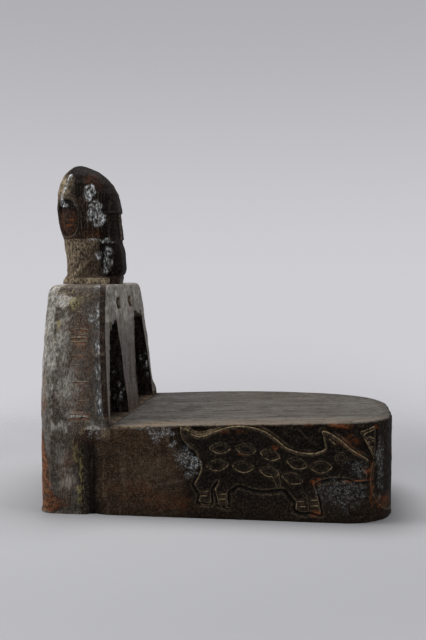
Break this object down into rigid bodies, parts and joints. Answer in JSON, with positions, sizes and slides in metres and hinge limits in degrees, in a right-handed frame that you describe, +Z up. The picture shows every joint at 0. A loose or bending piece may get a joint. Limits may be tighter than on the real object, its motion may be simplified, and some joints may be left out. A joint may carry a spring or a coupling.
{
  "type": "carved low seat with figure back",
  "caption": "Low carved hardwood seat: a long round-cornered seat block with one straight side in low relief, and an upright back carved as arms, chest and a head",
  "frame": {"origin": "on the floor, under the middle of the whole seat's bounding box", "axes": "+X from the back towards the free end of the seat, +Y from the straight side towards the bowed side, +Z up"},
  "size_m": [0.735, 0.493, 0.72],
  "materials": {
    "seat_wood": "chisel-cut hardwood, smoke-darkened and polished by hands",
    "back_wood": "chisel-cut hardwood, smoke-darkened and polished by hands",
    "head_wood": "chisel-cut hardwood, smoke-darkened and polished by hands",
    "tenon_wood": "plain sawn hardwood"
  },
  "bodies": {
    "root": {"seat_block": "seat_wood", "back_block": "back_wood", "head": "head_wood", "near_seat_tenon": "tenon_wood", "far_seat_tenon": "tenon_wood", "neck_tenon": "tenon_wood"}
  },
  "joints": []
}
